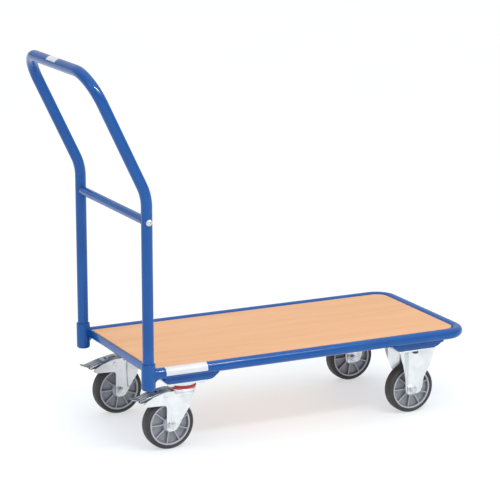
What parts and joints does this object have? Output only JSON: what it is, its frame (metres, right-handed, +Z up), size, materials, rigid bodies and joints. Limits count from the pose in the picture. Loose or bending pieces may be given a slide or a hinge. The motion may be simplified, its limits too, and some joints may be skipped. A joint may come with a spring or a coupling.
{
  "type": "platform cart",
  "caption": "Flatbed platform cart with a tubular steel frame, wooden deck, plug-in push handle, fixed front casters and braked rear swivel casters.",
  "frame": {"origin": "centre of the whole cart's footprint box on the floor plane, under the middle of the deck's length", "axes": "+X from the push handle towards the front, +Y to the left of a person pushing, +Z up"},
  "size_m": [1.0258, 0.4464, 0.9317],
  "materials": {
    "blue_paint": "gloss powder coat",
    "beech_board": "satin beech decor",
    "zinc_fastener": "bright zinc plated",
    "zinc_pressing": "bright zinc plated",
    "pedal_steel": "zinc plated",
    "plain_steel": "machined steel",
    "red_seal": "moulded plastic",
    "hub_plastic": "moulded polypropylene",
    "tyre_rubber": "elastic rubber",
    "brake_block": "moulded rubber",
    "blank_label": "blank white film"
  },
  "bodies": {
    "root": {"rim_rail": "blue_paint", "rear_cross_rail": "blue_paint", "handle_socket_left": "blue_paint", "handle_socket_right": "blue_paint", "rear_caster_bearer": "blue_paint", "front_caster_bearer": "blue_paint", "board_lugs": "blue_paint", "deck_board": "beech_board", "board_screws": "zinc_fastener", "caster_bolts": "zinc_fastener", "caster_nuts": "zinc_fastener", "rating_label": "blank_label", "swivel_plate_left": "zinc_pressing", "swivel_plate_right": "zinc_pressing", "king_pin_left": "plain_steel", "king_pin_right": "plain_steel", "fixed_fork_left": "zinc_pressing", "fixed_fork_right": "zinc_pressing", "fixed_axle_bolts": "zinc_fastener", "fixed_axle_nuts": "zinc_fastener", "axle_sleeve_front_left": "plain_steel", "axle_sleeve_front_right": "plain_steel"},
    "handle": {"push_handle": "blue_paint", "handle_crossbar": "blue_paint", "crossbar_plugs": "plain_steel", "crossbar_screws": "zinc_fastener", "grip_label": "blank_label"},
    "swivel_left": {"swivel_fork_left": "zinc_pressing", "seal_ring_left": "red_seal", "race_balls_left": "plain_steel", "swivel_axle_bolt_left": "zinc_fastener", "swivel_axle_nut_left": "zinc_fastener", "pedal_rivet_left": "zinc_fastener", "axle_sleeve_rear_left": "plain_steel"},
    "pedal_left": {"brake_pedal_left": "pedal_steel", "brake_shoe_left": "brake_block"},
    "wheel_rear_left": {"wheel_hub_rear_left": "hub_plastic", "tyre_rear_left": "tyre_rubber", "bearings_rear_left": "plain_steel"},
    "wheel_front_left": {"wheel_hub_front_left": "hub_plastic", "tyre_front_left": "tyre_rubber", "bearings_front_left": "plain_steel"},
    "swivel_right": {"swivel_fork_right": "zinc_pressing", "seal_ring_right": "red_seal", "race_balls_right": "plain_steel", "swivel_axle_bolt_right": "zinc_fastener", "swivel_axle_nut_right": "zinc_fastener", "pedal_rivet_right": "zinc_fastener", "axle_sleeve_rear_right": "plain_steel"},
    "pedal_right": {"brake_pedal_right": "pedal_steel", "brake_shoe_right": "brake_block"},
    "wheel_rear_right": {"wheel_hub_rear_right": "hub_plastic", "tyre_rear_right": "tyre_rubber", "bearings_rear_right": "plain_steel"},
    "wheel_front_right": {"wheel_hub_front_right": "hub_plastic", "tyre_front_right": "tyre_rubber", "bearings_front_right": "plain_steel"}
  },
  "joints": [
    {"name": "handle_lift", "type": "slide", "parent": "root", "child": "handle", "axis": [0, 0, 1], "range_m": [0, 0.1]},
    {"name": "swivel_left", "type": "hinge", "parent": "root", "child": "swivel_left", "pos_m": [-0.25609, 0.1565, 0.15], "axis": [0, 0, 1], "continuous": true},
    {"name": "brake_pedal_left", "type": "hinge", "parent": "swivel_left", "child": "pedal_left", "pos_m": [-0.30669, 0.1565, 0.133], "axis": [0, -1, 0], "range_deg": [0, 14]},
    {"name": "roll_rear_left", "type": "hinge", "parent": "swivel_left", "child": "wheel_rear_left", "pos_m": [-0.29309, 0.1565, 0.0625], "axis": [0, 1, 0], "continuous": true},
    {"name": "roll_front_left", "type": "hinge", "parent": "root", "child": "wheel_front_left", "pos_m": [0.36891, 0.1565, 0.0625], "axis": [0, 1, 0], "continuous": true},
    {"name": "swivel_right", "type": "hinge", "parent": "root", "child": "swivel_right", "pos_m": [-0.25609, -0.1565, 0.15], "axis": [0, 0, 1], "continuous": true},
    {"name": "brake_pedal_right", "type": "hinge", "parent": "swivel_right", "child": "pedal_right", "pos_m": [-0.30669, -0.1565, 0.133], "axis": [0, -1, 0], "range_deg": [0, 14]},
    {"name": "roll_rear_right", "type": "hinge", "parent": "swivel_right", "child": "wheel_rear_right", "pos_m": [-0.29309, -0.1565, 0.0625], "axis": [0, 1, 0], "continuous": true},
    {"name": "roll_front_right", "type": "hinge", "parent": "root", "child": "wheel_front_right", "pos_m": [0.36891, -0.1565, 0.0625], "axis": [0, 1, 0], "continuous": true}
  ]
}
